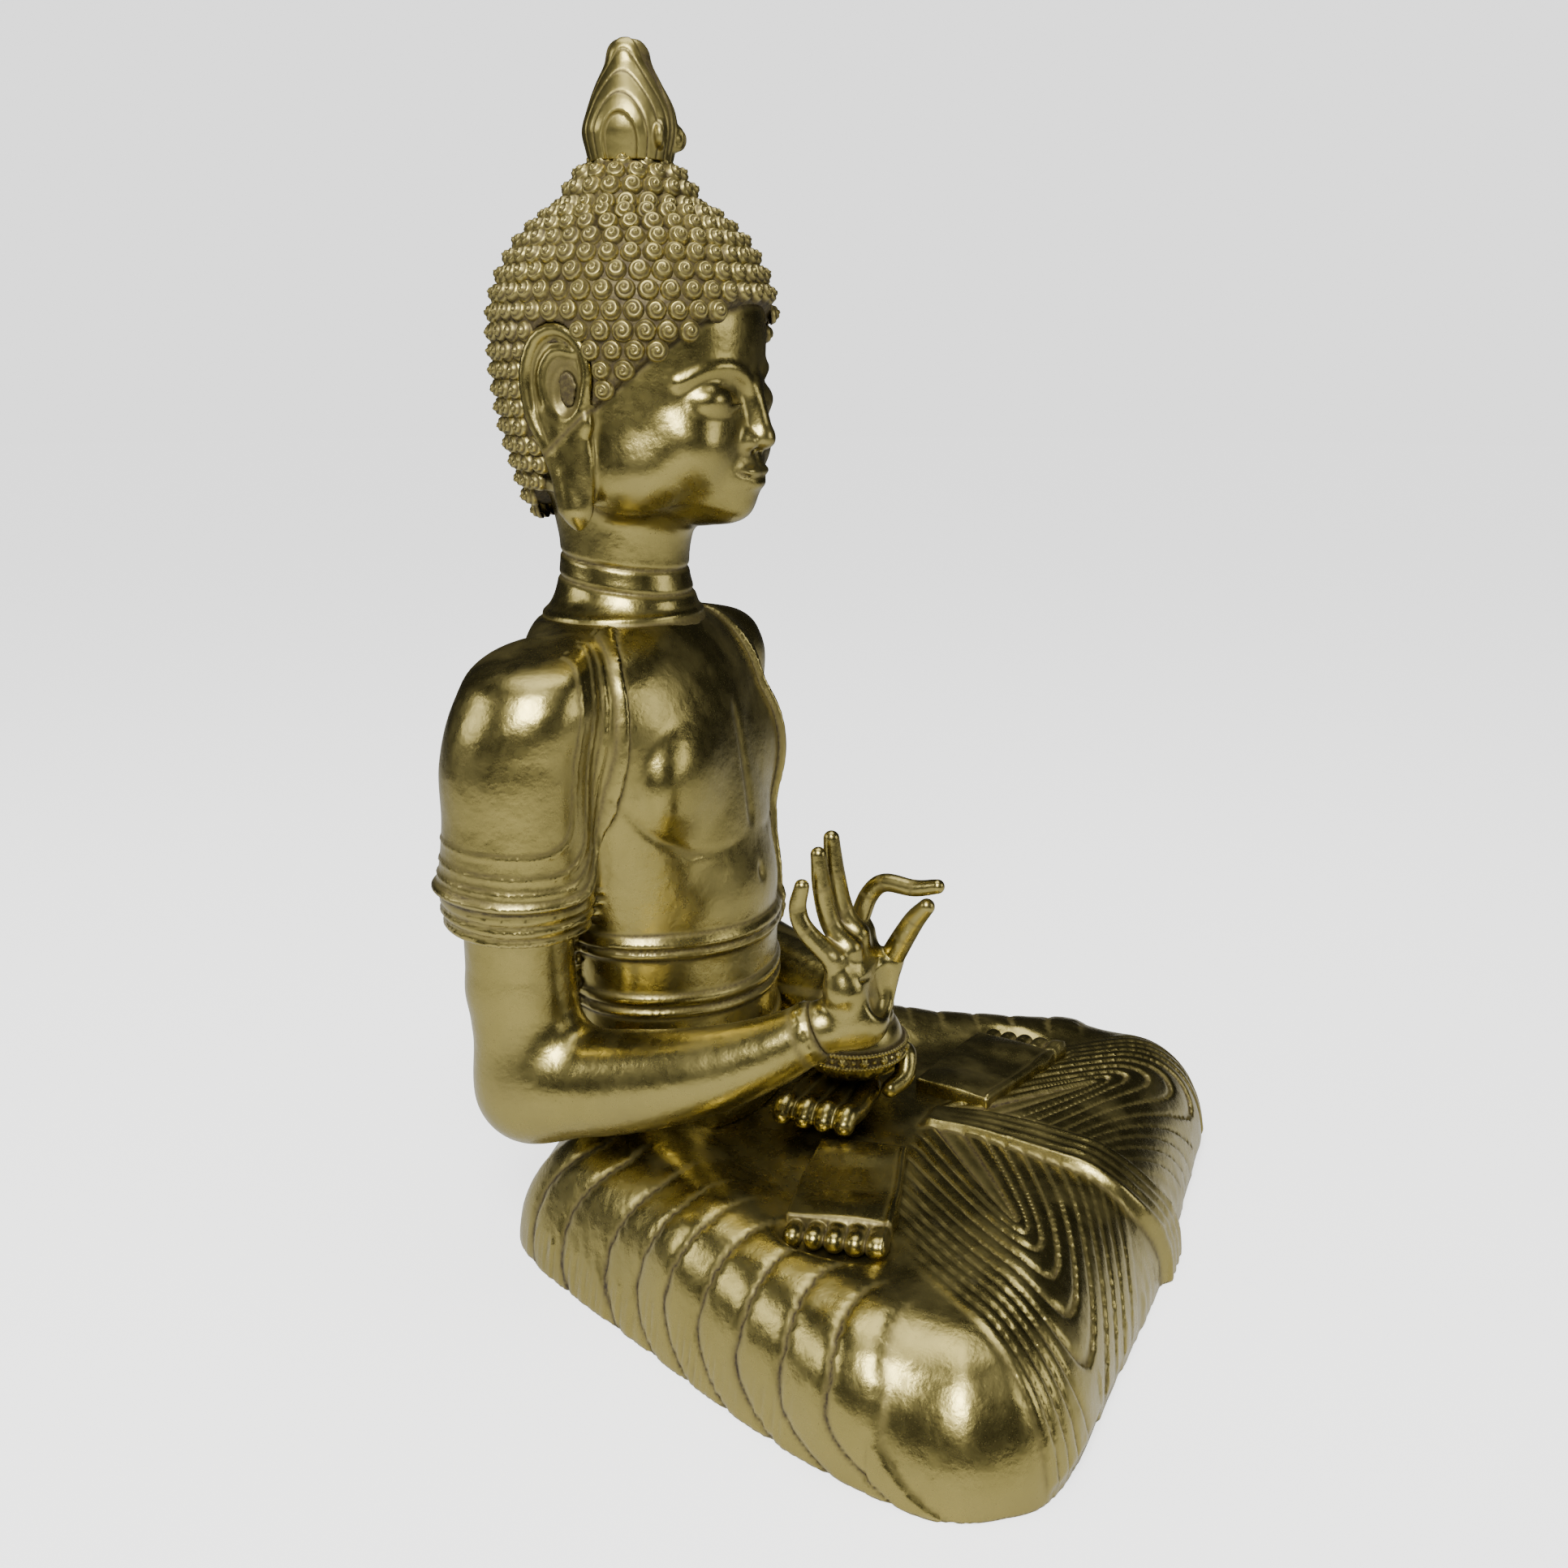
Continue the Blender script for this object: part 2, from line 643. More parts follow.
SEAT = 60.2             # where the torso stands on the lap
NECK_SEAT = 325.0       # where the neck stands on the torso
SLEEVE_DEPTH = 206.0    # how high the inside of a sleeve goes
TORSO = [
    (58.0, 89, 68, 55),
    (105, 90, 64, 52),
    (150, 92, 66, 53),
    (200, 97, 76, 55),
    (245, 101, 86, 54),
    (285, 105, 91, 50),
    (308, 110, 82, 45),
    (324, 117, 54, 40),
]
SLEEVE = [
    (182, 124, 33, 36, 101),
    (200, 124, 35.5, 38.5, 101),
    (214, 123, 33.5, 36.5, 101),
    (235, 122, 32, 35, 101),
    (265, 122, 32, 35, 100),
    (294, 118, 29, 33, 95),
    (315, 118, 23, 25, 83),
    (326, 118, 12, 15, 69),
]
SASHES = [(166, 3.2), (159, 2.0), (134, 3.0), (127, 2.0), (104, 3.4), (84, 3.0)]


def sleeve_shape(p, side, grow=0.0):
    x, y, z = p
    xc = side * smooth_table(z, [r[0] for r in SLEEVE], [r[4] for r in SLEEVE])
    rows = [(r[0], r[1], r[2] + grow, r[3] + grow) for r in SLEEVE]
    return column((x - xc, y, z), rows)


def torso_body(p):
    f = column(p, TORSO)
    for side in (-1, 1):
        breast = egg(p, (side * 33, 66, 246), (37, 17.5, 35))
        f = smin(f, breast, 5.0)
    belly = egg(p, (0, 66, 178), (44, 27, 30))
    f = smin(f, belly, 14.0)
    for side in (-1, 1):
        f = smin(f, sleeve_shape(p, side), 9.0)
    return f


BREAST_EDGE = [(4, 48, 213), (20, 47, 209), (48, 55, 211), (68, 69, 226), (82, 80, 247)]


def robe_inside(x, y, z):
    """How far inside the edge of the robe a point of the surface is, on each side."""
    levels = [190, 210, 230, 260, 287, 309, 320, 327]
    near_edge = smooth_table(z, levels, [98, 90, 82, 78, 74, 66, 52, 36])
    far_levels = [150, 180, 215, 255, 292, 322]
    far_edge = smooth_table(z, far_levels, [34, 44, 50, 51, 47, 36])
    edge = np.where(x < 0, near_edge, far_edge)
    across = (np.abs(x) - edge) * 0.92 + 140 * step(100, 120, y)
    hem = z - 199.5 - 2.5 * step(90, 160, y) + 90 * step(84, 72, np.abs(x)) * step(104, 120, y)
    far_hem = np.where(np.abs(x) > 84, hem, 60.0)
    return smin(across, np.where(x < 0, hem, far_hem), 16.0)


def sash_relief(p, body):
    """Rolls of cloth round the waist."""
    x, y, z = p
    sag = 2.5 * np.cos(x * 0.028) * step(110, 60, y)
    out = 2.2 * step(168, 164, z + sag) * body
    dark = np.zeros_like(x)
    for level, half in SASHES:
        t = z - level + sag
        out += 1.9 * np.exp(-((t / half) ** 4)) * body
        dark = np.maximum(dark, 0.75 * ridge(np.abs(t) - half - 0.6, 1.0) * body)
    return out, dark


def chest_relief(p):
    """The parting of the chest, the lower edge of each breast, and the navel."""
    x, y, z = p
    ax = np.abs(x)
    front = step(112, 98, y)
    middle = step(262, 240, z) * step(212, 222, z) + step(240, 262, z) * step(286, 270, z)
    middle = middle * step(16, 4, ax) * front
    low = edge_distance((ax, y, z), BREAST_EDGE)
    navel = ridge(np.hypot(x, (z - 190) * 0.7), 2.6) * front
    out = -1.3 * ridge(x, 3.0) * middle - 0.9 * ridge(low, 2.6) * front - 2.0 * navel
    dark = 0.4 * np.maximum(ridge(x, 1.7) * middle, ridge(low, 1.8) * front * step(66, 50, ax))
    return out, np.maximum(dark, 0.7 * navel)


def robe_relief(p, arm):
    """The edge of the robe with the folds beside it, and the rolls at the sleeves' hems."""
    x, y, z = p
    s = robe_inside(x, y, z)
    where = np.where(x < 0, 1.0, step(146, 154, z))
    out = 2.3 * step(-1.2, 1.6, s) * where + 1.9 * ridge(s - 2.4, 2.0) * where
    dark = 0.85 * np.maximum(ridge(s + 1.2, 1.2), 0.8 * ridge(s - 5.2, 0.9)) * where
    for shift, high in ((9.0, 1.0), (16.0, 0.9), (26.0, 0.8)):
        out += high * step(1.6, -0.4, np.abs(s - shift)) * where
        dark = np.maximum(dark, 0.65 * ridge(s - shift - 1.9, 0.8) * where)
    lower = step(198, 195, z) * arm
    roll = np.sin((z + 2.0 * np.cos((y - 100) * 0.05)) * 2 * pi / 6.5)
    out += 0.8 * roll * lower
    return out, np.maximum(dark, 0.6 * step(-0.6, -1.0, roll) * lower)


def torso_relief(p):
    """Relief of chest, sashes and robe (mm outward) and the wash in its lines."""
    arm = step(8, 3, np.minimum(sleeve_shape(p, -1), sleeve_shape(p, 1)))
    body = step(12, 4, column(p, TORSO)) * (1 - arm)
    parts = (sash_relief(p, body), chest_relief(p), robe_relief(p, arm))
    return sum(out for out, _ in parts), np.maximum.reduce([dark for _, dark in parts])


def torso_field(p):
    x, y, z = p
    f = raised(torso_body(p), p, torso_relief, 20)
    inner = np.minimum(sleeve_shape(p, -1, -5.0), sleeve_shape(p, 1, -5.0))
    f = smax(f, -np.maximum(inner, z - SLEEVE_DEPTH), 1.0)
    f = smax(f, SEAT - z, 0.6)
    fall = 0.97 * (z - NECK_SEAT + 0.22 * np.maximum(np.abs(x) - 44, 0))
    return smax(f, fall, 9.0)


def build_torso():
    lo, hi = (-144, 26, 58), (144, 172, 330)
    wash = wash_of(torso_relief)
    sculpt("robed_torso", torso_field, lo, hi, 1.65, GOLD, "torso_shell", patina=wash)


# ---- head ------------------------------------------------------------------

SKULL = (0.0, 107.6, 464.0)
SKULL_R = (58.5, 67.8)
SKULL_UP = 62.0
SKULL_DOWN = 122.0
CHIN_Z = 373.0
HAIR_FRONT = (36.0, 480.0)
HAIR_NAPE = (168.0, 368.0)
THIRD = (HAIR_FRONT[1] - CHIN_Z) / 3       # brow, nose and chin, each a third of the face
BROW_Z = CHIN_Z + 2 * THIRD
NOSE_Z = CHIN_Z + THIRD
EYE_Z = BROW_Z - 0.32 * THIRD
MOUTH_Z = NOSE_Z - 0.36 * THIRD
EYE_X = SKULL_R[0] * 2 / 5                 # faces are five eyes wide


def hairline_z(y):
    slope = (HAIR_FRONT[1] - HAIR_NAPE[1]) / (HAIR_NAPE[0] - HAIR_FRONT[0])
    return HAIR_FRONT[1] - slope * (y - HAIR_FRONT[0])


def skull(p, grow=0.0):
    """Egg with a rounder top half than bottom half."""
    x, y, z = p
    rz = np.where(z > SKULL[2], SKULL_UP, SKULL_DOWN) + grow
    r = (SKULL_R[0] + grow, SKULL_R[1] + grow, rz)
    return oval((x, y - SKULL[1], z - SKULL[2]), r)


NECK_Y = 117
NECK_CREASES = (340.0, 352.0)
NECK = [
    (318.0, NECK_Y, 50, 44),
    (NECK_SEAT, NECK_Y, 44, 40),
    (333, 116, 37.5, 37),
    (345, 116, 34, 34),
    (360, 115, 33.5, 34),
    (374, 114, 34, 38),
    (392, 112, 38, 44),
]


def head_mass(p):
    """Skull, jaw, cheeks and neck, before the features."""
    f = skull(p)
    f = np.maximum(f, 388 - p[2])
    f = smin(f, egg(p, (0, 95, 413), (49, 51, 44)), 14.0)
    f = smin(f, egg(p, (0, 64, 389), (21, 18, 16)), 16.0)
    f = smin(f, column(p, NECK), 7.0)
    for side in (-1, 1):
        f = smin(f, egg(p, (side * 25, 66, 411), (21, 20, 20)), 10.0)
        f = smin(f, egg(p, (side * 38, 92, 398), (17, 26, 19)), 12.0)
    return f


def front_y(x, z):
    """Where a line going straight back meets the front of the bare head."""
    lo, hi = 20.0, 105.0
    for _ in range(26):
        mid = (lo + hi) / 2
        inside = head_mass((np.array([x]), np.array([mid]), np.array([z])))[0] < 0
        lo, hi = (lo, mid) if inside else (mid, hi)
    return (lo + hi) / 2


def on_face(points, lift=0.0):
    """Smooth path laid on the face from (x, z, radius) points."""
    return [(x, front_y(x, z) - lift, z, r) for x, z, r in curved(points, 3)]


BROW = on_face(
    [
        (4.5, BROW_Z - 6, 1.6),
        (10, BROW_Z - 0.5, 2.0),
        (20, BROW_Z + 3.0, 2.1),
        (31, BROW_Z + 2.0, 1.9),
        (41, BROW_Z - 4.0, 1.3),
    ],
    -0.6,
)
UPPER_LID = on_face(
    [
        (EYE_X - 11, EYE_Z - 2.2, 0.8),
        (EYE_X - 5, EYE_Z - 3.4, 1.1),
        (EYE_X + 1, EYE_Z - 3.8, 1.2),
        (EYE_X + 7, EYE_Z - 2.8, 1.1),
        (EYE_X + 13, EYE_Z - 0.6, 0.7),
    ],
    0.4,
)
LID_FOLD = on_face(
    [(EYE_X + x, EYE_Z + z, 1) for x, z in ((-10, 1.5), (-4, 5.4), (3, 6.0), (12, 2.4))]
)
LOWER_LID = on_face(
    [
        (EYE_X - 9, EYE_Z - 4.2, 0.8),
        (EYE_X, EYE_Z - 6.4, 1.0),
        (EYE_X + 9, EYE_Z - 4.4, 0.8),
    ],
    -0.2,
)
MOUTH = on_face(
    [(x, MOUTH_Z + z, r) for x, z, r in ((0, 0.0, 1.0), (6, -0.4, 1.0), (13, 1.2, 0.8), (16, 2.4, 0.7))],
    3.0,
)
NOSE_ROOT_Y = front_y(0, EYE_Z)
NOSE_TIP_Y = front_y(0, NOSE_Z) - 11.0


def nose(p):
    q = (np.abs(p[0]), p[1], p[2])
    root, end = (0, NOSE_ROOT_Y + 2.5, BROW_Z - 3), (0, NOSE_TIP_Y + 7.0, NOSE_Z + 8)
    bridge = bone(p, root, end, 4.6, 6.0)
    tip = egg(p, (0, NOSE_TIP_Y + 7.5, NOSE_Z + 4.6), (6.6, 7.5, 5.4))
    wing = egg(q, (8.2, NOSE_TIP_Y + 12.0, NOSE_Z + 4.0), (4.0, 6.5, 4.8))
    return smin(smin(bridge, tip, 4.0), wing, 2.2)


def face_field(p):
    x, y, z = p
    q = (np.abs(x), y, z)
    f = head_mass(p)
    socket = egg(q, (EYE_X - 2, NOSE_ROOT_Y - 4.0, EYE_Z + 1.0), (14, 7.5, 7.5))
    f = smax(f, -socket, 7.0)
    f = smin(f, egg(q, (EYE_X, NOSE_ROOT_Y + 14.2, EYE_Z - 1), (14.5, 12.0, 10.0)), 4.0)
    f = smin(f, rod(q, BROW, 5), 5.0)
    f = smin(f, nose(p), 5.0)
    f = smin(f, rod(q, UPPER_LID, 5), 1.6)
    f = smin(f, rod(q, LOWER_LID, 5), 1.8)
    f = f + 0.9 * ridge(edge_distance(q, LID_FOLD), 1.2)
    mouth_y = front_y(0, MOUTH_Z)
    f = smin(f, egg(p, (0, mouth_y + 8, MOUTH_Z), (17, 12.5, 11)), 7.0)
    for sx in (0.0, 5.0):
        f = smin(f, egg(q, (sx, mouth_y + 1.0, MOUTH_Z + 2.4), (8.5, 6.4, 3.1)), 1.8)
    f = smin(f, egg(p, (0, mouth_y + 1.2, MOUTH_Z - 3.6), (10.5, 6.4, 3.8)), 1.8)
    f = f + 1.3 * ridge(edge_distance(q, MOUTH), 1.0)
    f = f + 0.8 * ridge(np.hypot(x, (z - (MOUTH_Z + 9)) * 0.45), 2.2) * step(70, 60, y)
    chin = egg(p, (0, front_y(0, CHIN_Z + 9) + 8.5, CHIN_Z + 9), (12, 10, 8.5))
    f = smin(f, chin, 7.0)
    nostril = egg(q, (4.0, NOSE_TIP_Y + 8.5, NOSE_Z - 0.2), (2.0, 3.0, 1.6))
    return smax(f, -nostril, 1.0)


EAR = (57.5, 113.6, 418.0)
EAR_RIM = curved(
    [
        (2.0, -11, 12, 2.6),
        (2.4, -14, 26, 2.8),
        (2.6, -10, 40, 2.9),
        (2.6, 2, 47, 3.1),
        (2.8, 14, 42, 3.3),
        (2.8, 20, 27, 3.2),
        (2.4, 18, 8, 3.0),
        (2.0, 10, -8, 3.0),
        (1.6, 4.5, -22, 3.2),
        (1.4, 1.5, -36, 3.6),
    ],
    3,
)
EAR_INNER = curved(
    [
        (2.6, -8, 36, 1.7),
        (2.8, 4, 37, 2.0),
        (2.8, 11, 27, 2.1),
        (2.6, 9, 13, 2.0),
        (2.4, 0, 3, 2.0),
        (2.2, -6, -6, 2.2),
    ],
    3,
)


def ear_field(p):
    q = (np.abs(p[0]) - EAR[0], p[1] - EAR[1], p[2] - EAR[2])
    upper = egg(q, (0, 2, 22), (4.6, 18, 26))
    lobe = egg(q, (0.4, -5.5, -18), (5.4, 9.0, 29))
    f = smin(upper, lobe, 8.0)
    f = smin(f, chain(q, [(-0.5, 9, 8, 4.6), (-0.5, 4, -12, 5.0), (0.2, -4, -36, 7.2)], 2.0), 5.0)
    f = smin(f, chain(q, EAR_RIM, 0.2), 2.0)
    f = smin(f, chain(q, EAR_INNER, 0.2), 1.4)
    bowl = egg(q, (5.4, -3, 18), (4.6, 6.5, 11))
    f = smax(f, -bowl, 2.0)
    tragus = egg(q, (2.0, -12, 4), (3.4, 3.4, 6))
    return smin(f, tragus, 2.0)


def above_crease(p, level):
    """Height over a neck crease, which rises to the back."""
    return p[2] - level - 0.14 * (p[1] - NECK_Y)


def head_field(p):
    f = smin(face_field(p), ear_field(p), 3.0)
    z = p[2]
    for level in NECK_CREASES:
        f = f + 1.2 * ridge(above_crease(p, level), 1.3) * step(372, 362, z)
    f = f - 1.2 * ridge(z - NECK_SEAT - 0.5, 1.8)
    f = smax(f, 319.0 - z, 0.8)
    return smax(f, z - 506.0, 0.8)


def head_wash(p):
    """Brown left round the eyes, nose, lips, ears and in the neck creases."""
    x, y, z = p
    q = (np.abs(x), y, z)
    dark = 0.75 * ridge(edge_distance(q, MOUTH), 1.3)
    dark = np.maximum(dark, 0.55 * ridge(edge_distance(q, LID_FOLD), 1.2))
    for lid, depth in ((UPPER_LID, 0.75), (LOWER_LID, 0.4)):
        under = edge_distance(q, [(a, b, c - 1.6) for a, b, c, _ in lid])
        dark = np.maximum(dark, depth * ridge(under, 1.1))
    for level in NECK_CREASES:
        dark = np.maximum(dark, 0.8 * ridge(above_crease(p, level), 1.2) * step(374, 366, z))
    dark = np.maximum(dark, 0.7 * step(NECK_SEAT, NECK_SEAT - 3, z))
    e = (q[0] - EAR[0], y - EAR[1], z - EAR[2])
    bowl = egg(e, (3.0, -3, 18), (5.0, 7.0, 12))
    dark = np.maximum(dark, 0.6 * step(1.5, -2.5, bowl))
    rims = np.minimum(chain(e, EAR_RIM), chain(e, EAR_INNER))
    groove = step(0.2, 1.6, rims) * step(-1, -2.5, egg(e, (0, 2, 22), (9, 18, 27)))
    dark = np.maximum(dark, 0.5 * groove)
    seam = np.abs(z - hairline_z(y) - 1.0)
    return np.maximum(dark, 0.8 * ridge(seam, 2.0))


def build_head():
    lo, hi = (-72, 22, 316), (72, 180, 508)
    sculpt("head", head_field, lo, hi, 1.15, GOLD, "head_shell", patina=head_wash)


# ---- hair ------------------------------------------------------------------

HAIR_THICK = 4.2
KNOT_TOP = 543.0
SOCKET_R = 6.4
CURLS_TOP = 518.5       # above this the knot's own rings of curls take over
KNOT = [(z, SKULL[1], r, r) for z, r in ((500.0, 37), (520.5, 34), (530.5, 29), (KNOT_TOP, 20))]
KNOT_RINGS = [(522.5, 34.5, 0.3), (530.5, 29.5, 0.45), (537.5, 24.5, 0.8), (542.0, 17.5, 1.25)]
CURL_DIA = 11.0
CURL_HIGH = 5.2
CURL_PITCH = 10.0
CURL_ROW = 8.7


def hair_field(p):
    x, y, z = p
    f = smax(skull(p, HAIR_THICK), hairline_z(y) - z + 1.5, 3.0)
    f = smin(f, column(p, KNOT), 3.0)
    ears = ear_field(p) - 0.6
    f = smax(f, -ears, 0.6)
    f = smax(f, z - KNOT_TOP, 0.6)
    return smax(f, -(np.hypot(x, y - SKULL[1]) - SOCKET_R), 0.6)


def clear_of_ears(y, z):
    """Whether a curl centred here would stand clear of the ear and its lobe."""
    room = CURL_DIA / 2 - 1.5
    tall = ((z - 438) / (27 + room)) ** 2 + ((y - SKULL[1] - 9) / (19 + room)) ** 2
    lobe = ((z - 401) / (30 + room)) ** 2 + ((y - SKULL[1] + 1) / (9.5 + room)) ** 2
    return tall > 1 and lobe > 1


def curl_places():
    """Centre and outward direction of every curl, in brick order."""
    places = []
    angle = -0.86
    row = 0
    while True:
        rise = SKULL_UP if angle > 0 else SKULL_DOWN
        z = SKULL[2] + (rise + HAIR_THICK) * sin(angle)
        if z > CURLS_TOP:
            break
        share = cos(angle)
        rx, ry = (r * share + HAIR_THICK for r in SKULL_R)
        count = int(2 * pi * sqrt((rx * rx + ry * ry) / 2) / CURL_PITCH)
        for i in range(count):
            turn = 2 * pi * (i + row % 2 / 2) / count
            x, y = rx * cos(turn), SKULL[1] + ry * sin(turn)
            n = Vector((x / rx**2, (y - SKULL[1]) / ry**2, (z - SKULL[2]) / (rise * rise)))
            above = z - hairline_z(y)
            beside = abs(x) > 46 and not clear_of_ears(y, z)
            if above > -1.0 and not beside:
                places.append(((x, y, z), n.normalized()))
        angle += CURL_ROW / sqrt((SKULL_R[1] * sin(angle)) ** 2 + (rise * cos(angle)) ** 2)
        row += 1
    return places


def knot_places():
    """The same for the curls that stand in rings round the knot."""
    places = []
    for row, (z, r, lean) in enumerate(KNOT_RINGS):
        count = int(2 * pi * r / CURL_PITCH)
        for i in range(count):
            turn = 2 * pi * (i + row % 2 / 2) / count
            way = Vector((cos(turn), sin(turn), lean)).normalized()
            places.append(((r * cos(turn), SKULL[1] + r * sin(turn), z), way))
    return places


def curl_form(rings=11, around=18, turns=2.4):
    """Snail-shell curl as points on a disc, with faces and groove depth."""
    rho = (np.arange(1, rings + 1) / rings)[:, None]
    theta = (np.arange(around) * 2 * pi / around)[None, :]
    phase = rho * turns - theta / (2 * pi)
    wave = 0.5 + 0.5 * np.cos(2 * pi * phase)
    dome = np.sqrt(np.maximum(0, 1 - rho**2)) * 0.6 + (1 - rho) * 0.4
    high = CURL_HIGH * dome + 0.95 * wave * (1 - rho**6)
    x = CURL_DIA / 2 * rho * np.cos(theta)
    y = CURL_DIA / 2 * rho * np.sin(theta)
    points = np.stack([x, y, high], -1).reshape(-1, 3)
    points = np.concatenate([points, [[0, 0, CURL_HIGH + 0.9]]])
    wash = ((1 - wave) ** 1.6 * 0.85).reshape(-1)
    wash = np.where(np.repeat(rho[:, 0], around) > 0.93, 0.9, wash)
    wash = np.concatenate([wash, [0.0]])
    r, a = np.meshgrid(np.arange(rings - 1), np.arange(around), indexing="ij")
    nxt = (a + 1) % around
    quads = np.stack([r * around + a, (r + 1) * around + a, (r + 1) * around + nxt, r * around + nxt], -1)
    rim = np.arange(around)
    fan = np.stack([np.full(around, rings * around), rim, (rim + 1) % around], -1)
    return points, quads.reshape(-1, 4), fan, wash


def frame_of(way):
    """Rotation whose third column is the given direction."""
    n = np.array(way, float)
    up = np.array([0.0, 0.0, 1.0]) if abs(n[2]) < 0.95 else np.array([0.0, -1.0, 0.0])
    u = np.cross(up, n)
    u /= np.linalg.norm(u)
    return np.stack([u, np.cross(n, u), n], 1)


def build_curls(name, places):
    """One mesh of many curls, each turned a little differently."""
    points, quads, fan, wash = curl_form()
    rng = np.random.default_rng(5)
    all_points, all_faces, all_wash = [], [], []
    for i, (place, way) in enumerate(places):
        turn = rng.uniform(0, 2 * pi)
        size = rng.uniform(0.95, 1.05)
        spin = np.array([[cos(turn), -sin(turn), 0], [sin(turn), cos(turn), 0], [0, 0, 1]])
        if place[0] > 0:
            spin = spin @ np.diag([1, -1, 1])
        base = np.array(place) - np.array(way) * 1.3
        all_points.append(points * size @ spin.T @ frame_of(way).T + base)
        faces = np.concatenate([quads[:, [0, 1, 2]], quads[:, [0, 2, 3]], fan])
        if place[0] > 0:
            faces = faces[:, ::-1]
        all_faces.append(faces + i * len(points))
        all_wash.append(wash)
    points, faces, wash = (np.concatenate(v) for v in (all_points, all_faces, all_wash))
    obj = make_mesh(name, points, faces, HAIR_GOLD, patina=wash)
    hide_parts("hair_cap")


def build_hair():
    lo, hi = (-66, 32, 362), (66, 184, 546)
    hair = {"slot": "hair_gold", "patina": lambda p: np.full(len(p[0]), 0.85)}
    sculpt("hair_ground", hair_field, lo, hi, 1.3, HAIR_GOLD, "hair_cap", **hair)
    places = curl_places()
    build_curls("curls_right", [p for p in places if p[0][0] <= 0])
    build_curls("curls_left", [p for p in places if p[0][0] > 0])
    build_curls("curls_knot", knot_places())


# ---- finial ----------------------------------------------------------------

FLAME_SEAT = 543.3
FLAME_TOP = 600.0
FLAME_OVALS = [
    (541.3, 0, 18, 19),
    (549.3, 0, 20, 21),
    (557.3, 0, 21.5, 22.5),
    (567.3, -0.8, 19.5, 20.5),
    (579.3, 0, 14.5, 15.5),
    (588.3, 0, 10.6, 11.0),
    (596.3, 0, 9.6, 9.8),
    (603.0, 0, 8.6, 8.8),
]
FLAME = [(z, SKULL[1] + y, rx, ry) for z, y, rx, ry in FLAME_OVALS]
PEG_HOLE = (4.2, 16)    # radius and depth


def flame_relief(p):
    """Nested tongues of flame on each side, with a seam at front and back."""
    x, y, z = p
    turn = np.arctan2(x, -(y - SKULL[1]))
    k = np.clip((z - FLAME_SEAT) / (FLAME_TOP - FLAME_SEAT), 0, 1)
    out, dark = np.zeros_like(x), np.zeros_like(x)
    for middle in (-1.3, 1.3):
        a = np.abs((turn - middle + pi) % (2 * pi) - pi)
        reach = np.sqrt((a / 1.3) ** 2 + (np.maximum(z - 549, 0) / 50.0) ** 2)
        t = np.clip((reach - 0.28) / 0.2, 0, 4)
        mine = step(1.5, 1.3, a) * step(0.0, 0.2, t)
        out = np.maximum(out, (fold_profile(t, 0.9) + 0.45 * np.floor(4 - t)) * mine)
        dark = np.maximum(dark, 0.8 * valley(t, 9.0, 0.7) * mine)
    seam = ridge(np.sin(turn) * 21, 1.3) * step(545, 549, z) * step(592, 580, z)
    dark = np.maximum(dark, 0.7 * seam)
    return out - 0.8 * seam, dark * step(598, 590, z)


def flame_field(p):
    f = column(p, FLAME)
    f = smax(f, p[2] - 599.4, 9.0)
    f = smin(f, scroll(p), 1.5)
    f = raised(f, p, flame_relief, 8)
    f = smax(f, FLAME_SEAT - p[2], 0.5)
    radius, deep = PEG_HOLE
    bore = np.maximum(np.hypot(p[0], p[1] - SKULL[1]) - radius, p[2] - FLAME_SEAT - deep)
    return smax(f, -bore, 0.4)


def scroll(p):
    """Small curled tongue of flame at each side of the front seam."""
    q = (p[1] - 89.0 + 0.3 * np.abs(p[0]), np.abs(p[0]) - 7.0, p[2] - 554.5)
    r = np.sqrt(q[1] ** 2 + q[2] ** 2)
    loop = np.sqrt((r - 3.7) ** 2 + q[0] ** 2) - 1.5
    return smin(loop, np.sqrt(q[0] ** 2 + r**2) - 1.9, 0.8)


def build_finial():
    lo, hi = (-26, 80, 542), (26, 134, 602)
    finial = {"body": "finial", "slot": "hair_gold", "patina": wash_of(flame_relief)}
    sculpt("flame", flame_field, lo, hi, 0.6, HAIR_GOLD, "flame_finial", **finial)


# ---- arms ------------------------------------------------------------------

RIGHT_ELBOW = (-101, 117, 99)
RIGHT_FOREARM = (-98, 30, 118)
RIGHT_WRIST = (-84, -30, 147)
LEFT_WRIST = (52, -2, 92)
LEFT_ELBOW = (105, 117, 104)


def along(p, start, end):
    """Signed distance past end along the way from start, and distance off that line."""
    w = np.array(end, float) - np.array(start, float)
    w /= np.linalg.norm(w)
    q = [p[i] - end[i] for i in range(3)]
    t = sum(q[i] * w[i] for i in range(3))
    off = np.sqrt(np.maximum(sum(v * v for v in q) - t * t, 0))
    return t, off


def past_right_wrist(p):
    return along(p, RIGHT_FOREARM, RIGHT_WRIST)[0]


def right_arm_field(p):
    """Upper arm, elbow and forearm, with a lumpy collar of filler at the wrist."""
    elbow = (*RIGHT_ELBOW, 28)
    upper = chain(p, [(-101, 124, 186, 27), (-101, 124, 150, 27), elbow], 3.0)
    middle = [(-100, 74, 106, 26), (*RIGHT_FOREARM, 22), (-92, -4, 132, 17.5)]
    f = smin(upper, rod(p, [elbow, *middle, (*RIGHT_WRIST, 13.4)], 12), 14.0)
    t = past_right_wrist(p)
    x, y, z = p
    lumps = np.sin(x * 0.9) * np.sin(y * 1.1 + 1) * np.sin(z * 0.8 + 2)
    collar = ridge(t + 4.5, 3.2)
    f = f - collar * (0.9 + 0.7 * lumps)
    f = smax(f, t, 0.6)
    return smax(f, z - 193.5, 0.8)


